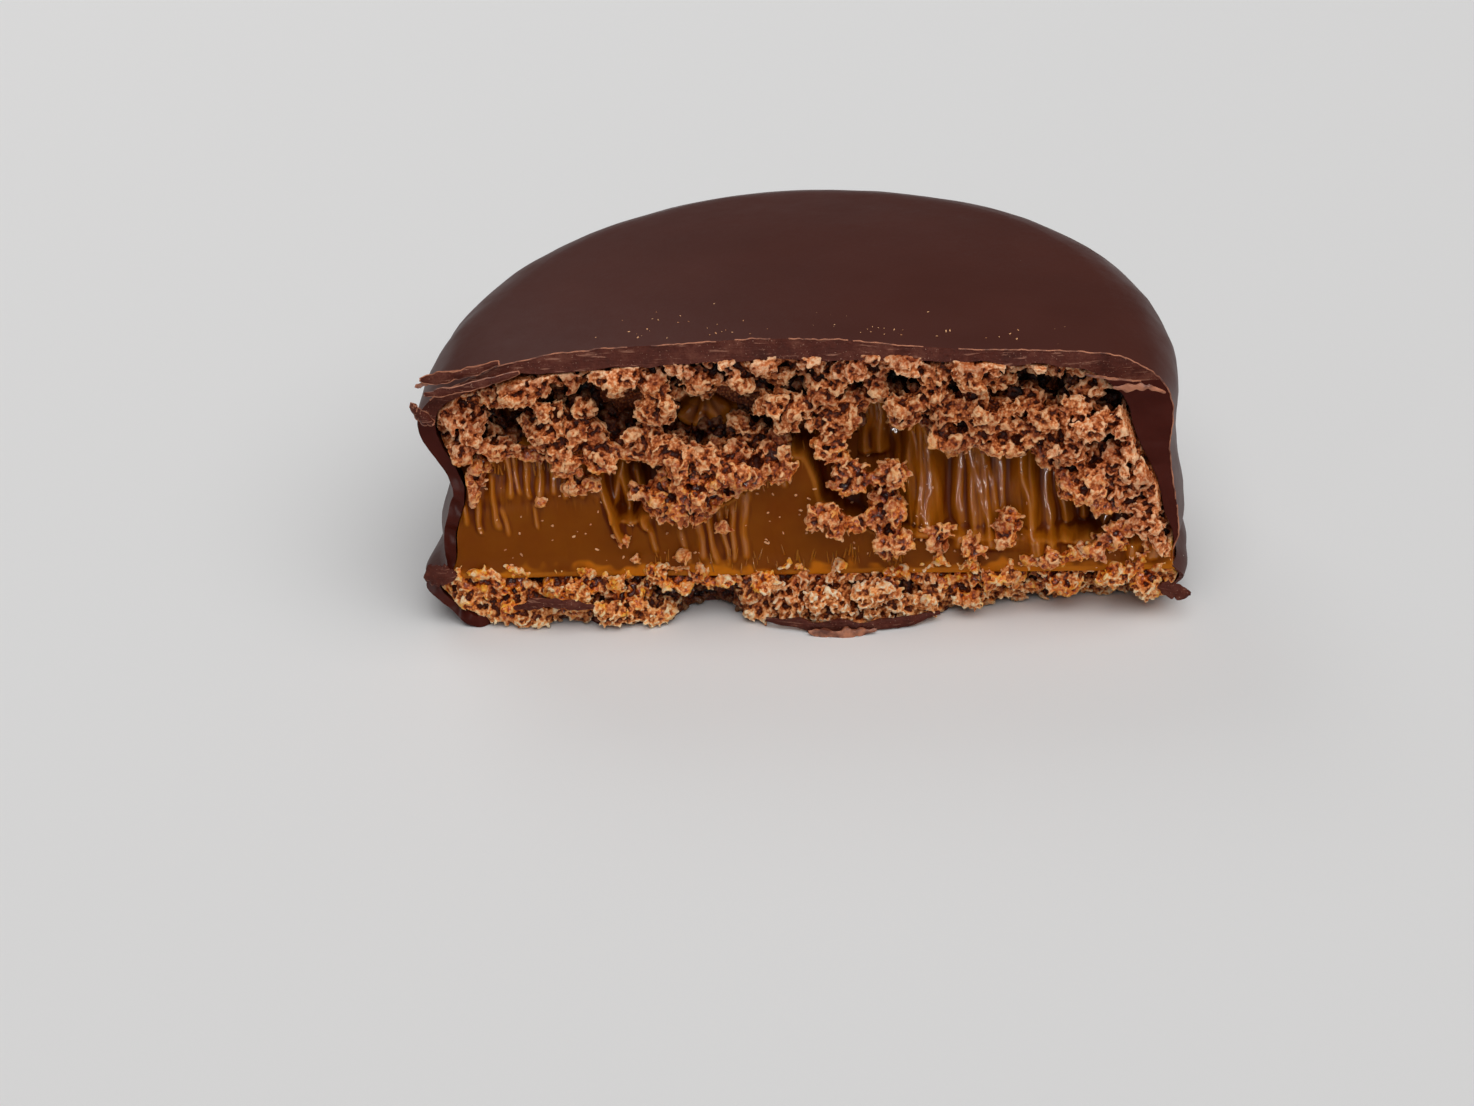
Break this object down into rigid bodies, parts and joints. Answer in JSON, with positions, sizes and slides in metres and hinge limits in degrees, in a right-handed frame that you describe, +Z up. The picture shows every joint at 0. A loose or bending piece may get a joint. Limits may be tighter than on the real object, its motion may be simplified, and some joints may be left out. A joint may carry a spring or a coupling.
{
  "type": "alfajor cookie",
  "caption": "Chocolate-coated sandwich cookie broken across: two crumbly biscuits with a thick milk caramel filling, showing at the broken face.",
  "frame": {"origin": "middle of the underside of the whole box, on the surface that the cookie rests on", "axes": "+Z up from the base, -Y out of the broken face, +X to the right of that face"},
  "size_m": [0.0632, 0.04, 0.0262],
  "materials": {
    "chocolate": "satin dark milk chocolate, smooth outside and dull where it is broken",
    "upper_crumb": "matt open biscuit crumb, golden brown",
    "caramel": "glossy milk caramel, amber brown",
    "lower_crumb": "matt close biscuit crumb, pale gold"
  },
  "bodies": {
    "root": {"chocolate_coat": "chocolate", "upper_biscuit": "upper_crumb", "caramel_filling": "caramel", "lower_biscuit": "lower_crumb", "shell_splinter_upper": "chocolate", "shell_splinter_lower": "chocolate", "base_flake": "chocolate"}
  },
  "joints": []
}
